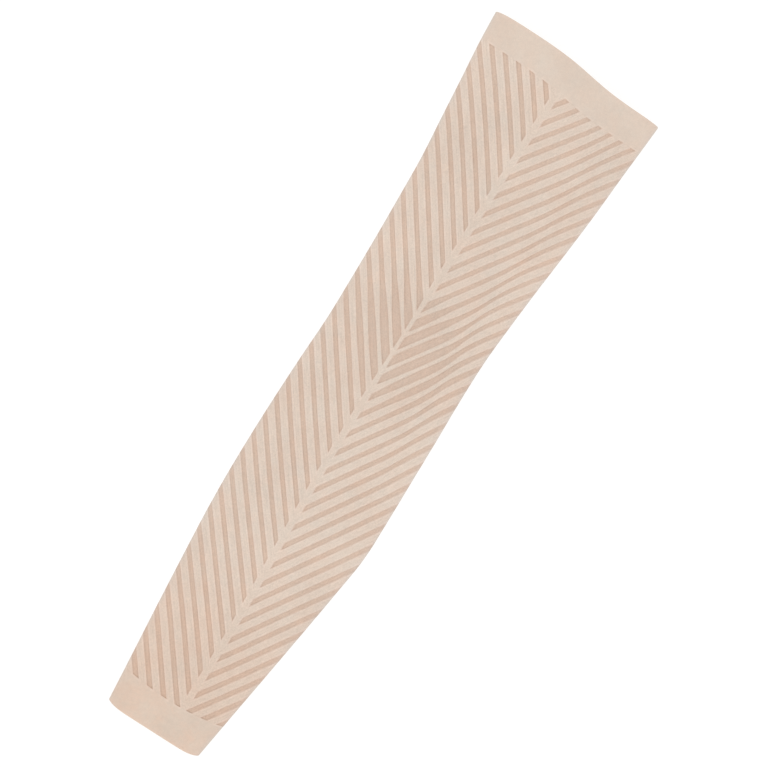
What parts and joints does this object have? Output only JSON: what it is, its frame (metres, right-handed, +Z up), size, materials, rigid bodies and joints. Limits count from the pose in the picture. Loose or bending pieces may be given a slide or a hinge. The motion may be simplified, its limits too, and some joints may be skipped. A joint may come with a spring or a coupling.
{
  "type": "arm sleeve",
  "caption": "Open tapered knitted compression sleeve for the arm, lying flat, with chevron ribs that meet on a spine, a wide-grooved elbow zone and plain turned cuffs.",
  "frame": {"origin": "on the ground under the middle of the lying sleeve's box", "axes": "+Y along the sleeve from the wrist to the upper arm, +Z up from the surface it lies on, +X to the right seen from above"},
  "size_m": [0.108, 0.43, 0.012],
  "materials": {
    "ribbed_knit": "matt nude-beige stretch knit with raised light ribs and darker recessed stripes",
    "plain_knit": "matt nude-beige plain stretch knit, turned double"
  },
  "bodies": {
    "root": {"sleeve_body": "ribbed_knit", "upper_cuff": "plain_knit", "wrist_cuff": "plain_knit"}
  },
  "joints": []
}
